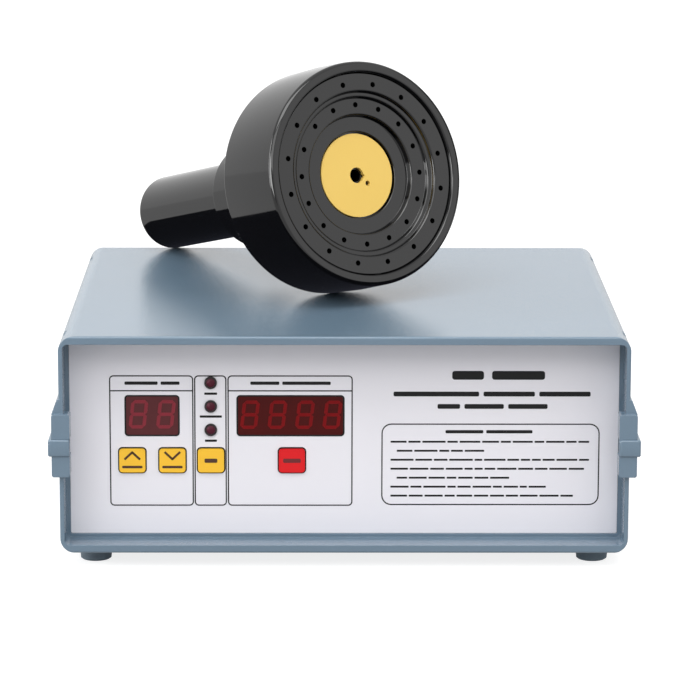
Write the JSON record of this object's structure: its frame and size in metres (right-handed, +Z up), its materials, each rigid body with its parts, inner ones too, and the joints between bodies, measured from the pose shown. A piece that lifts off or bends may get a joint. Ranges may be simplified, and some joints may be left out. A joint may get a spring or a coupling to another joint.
{
  "type": "induction cap sealer",
  "caption": "Desktop induction cap sealer: moulded generator case with recessed control panel and a loose hand-held sealing head, with stepped face and handle, resting on its top.",
  "frame": {"origin": "middle of the outline on the table, under the feet", "axes": "+Z up, front panel faces -Y, +X to the right seen from the front"},
  "size_m": [0.3008, 0.282, 0.247],
  "materials": {
    "case_plastic": "fine grained semi-gloss",
    "strip_plastic": "fine grained semi-gloss",
    "panel_metal": "satin",
    "overlay_film": "satin print film",
    "foot_rubber": "matte",
    "screw_steel": "zinc plated",
    "red_filter": "gloss",
    "display_plastic": "matte",
    "lens_plastic": "gloss",
    "key_yellow": "satin",
    "key_red": "satin",
    "board_laminate": "solder mask",
    "switch_plastic": "matte",
    "sink_alloy": "extruded",
    "component_plastic": "moulded",
    "capacitor_film": "sleeved",
    "core_ferrite": "sintered",
    "winding_copper": "enamelled wire",
    "guard_wire": "plated wire",
    "pin_brass": "plated",
    "rocker_red": "gloss",
    "head_plastic": "gloss black",
    "disc_yellow": "satin",
    "former_plastic": "matte"
  },
  "bodies": {
    "generator": {"top_cover": "case_plastic", "bottom_tray": "case_plastic", "left_strip": "strip_plastic", "right_strip": "strip_plastic", "front_panel": "panel_metal", "panel_overlay": "overlay_film", "rear_panel": "panel_metal", "rubber_feet": "foot_rubber", "foot_screws": "screw_steel", "case_screws": "screw_steel", "time_window": "red_filter", "output_window": "red_filter", "time_display": "display_plastic", "output_display": "display_plastic", "indicator_leds": "lens_plastic", "control_board": "board_laminate", "board_spacers": "screw_steel", "tact_switches": "switch_plastic", "power_board": "board_laminate", "board_screws": "screw_steel", "heat_sink": "sink_alloy", "power_transistors": "component_plastic", "bridge_rectifier": "component_plastic", "filter_capacitors": "capacitor_film", "resonant_capacitor": "capacitor_film", "transformer_core": "core_ferrite", "transformer_winding": "winding_copper", "input_choke": "winding_copper", "fan_frame": "switch_plastic", "fan_guard": "guard_wire", "fan_screws": "screw_steel", "power_inlet": "switch_plastic", "inlet_pins": "pin_brass", "inlet_screws": "screw_steel", "fuse_holder": "switch_plastic", "switch_housing": "switch_plastic", "lead_gland": "switch_plastic", "gland_nut": "switch_plastic", "head_shell": "head_plastic", "face_plate": "head_plastic", "centre_disc": "disc_yellow", "work_coil": "winding_copper", "coil_former": "former_plastic", "ferrite_bars": "core_ferrite", "handle_tube": "head_plastic", "handle_plug": "head_plastic", "handle_gland": "head_plastic"},
    "increase_key": {"key_increase": "key_yellow"},
    "decrease_key": {"key_decrease": "key_yellow"},
    "set_key": {"key_set": "key_yellow"},
    "start_key": {"key_start": "key_red"},
    "fan_wheel": {"fan_rotor": "switch_plastic"},
    "fuse_knob": {"fuse_cap": "switch_plastic"},
    "rocker": {"power_rocker": "rocker_red"}
  },
  "joints": [
    {"name": "increase_key_press", "type": "slide", "parent": "generator", "child": "increase_key", "axis": [0, 1, 0], "range_m": [0, 0.0007], "stiffness_N_per_m": 800, "springref_m": -0.001},
    {"name": "decrease_key_press", "type": "slide", "parent": "generator", "child": "decrease_key", "axis": [0, 1, 0], "range_m": [0, 0.0007], "stiffness_N_per_m": 800, "springref_m": -0.001},
    {"name": "set_key_press", "type": "slide", "parent": "generator", "child": "set_key", "axis": [0, 1, 0], "range_m": [0, 0.0007], "stiffness_N_per_m": 800, "springref_m": -0.001},
    {"name": "start_key_press", "type": "slide", "parent": "generator", "child": "start_key", "axis": [0, 1, 0], "range_m": [0, 0.0007], "stiffness_N_per_m": 800, "springref_m": -0.001},
    {"name": "fan_spin", "type": "hinge", "parent": "generator", "child": "fan_wheel", "pos_m": [0.072, 0.08947, 0.0643], "axis": [0, 1, 0], "continuous": true},
    {"name": "fuse_turn", "type": "hinge", "parent": "generator", "child": "fuse_knob", "pos_m": [-0.0215, 0.10447, 0.044], "axis": [0, 1, 0], "range_deg": [0, 90]},
    {"name": "rocker_tip", "type": "hinge", "parent": "generator", "child": "rocker", "pos_m": [-0.05155, 0.10147, 0.044], "axis": [1, 0, 0], "range_deg": [-16, 0]}
  ]
}
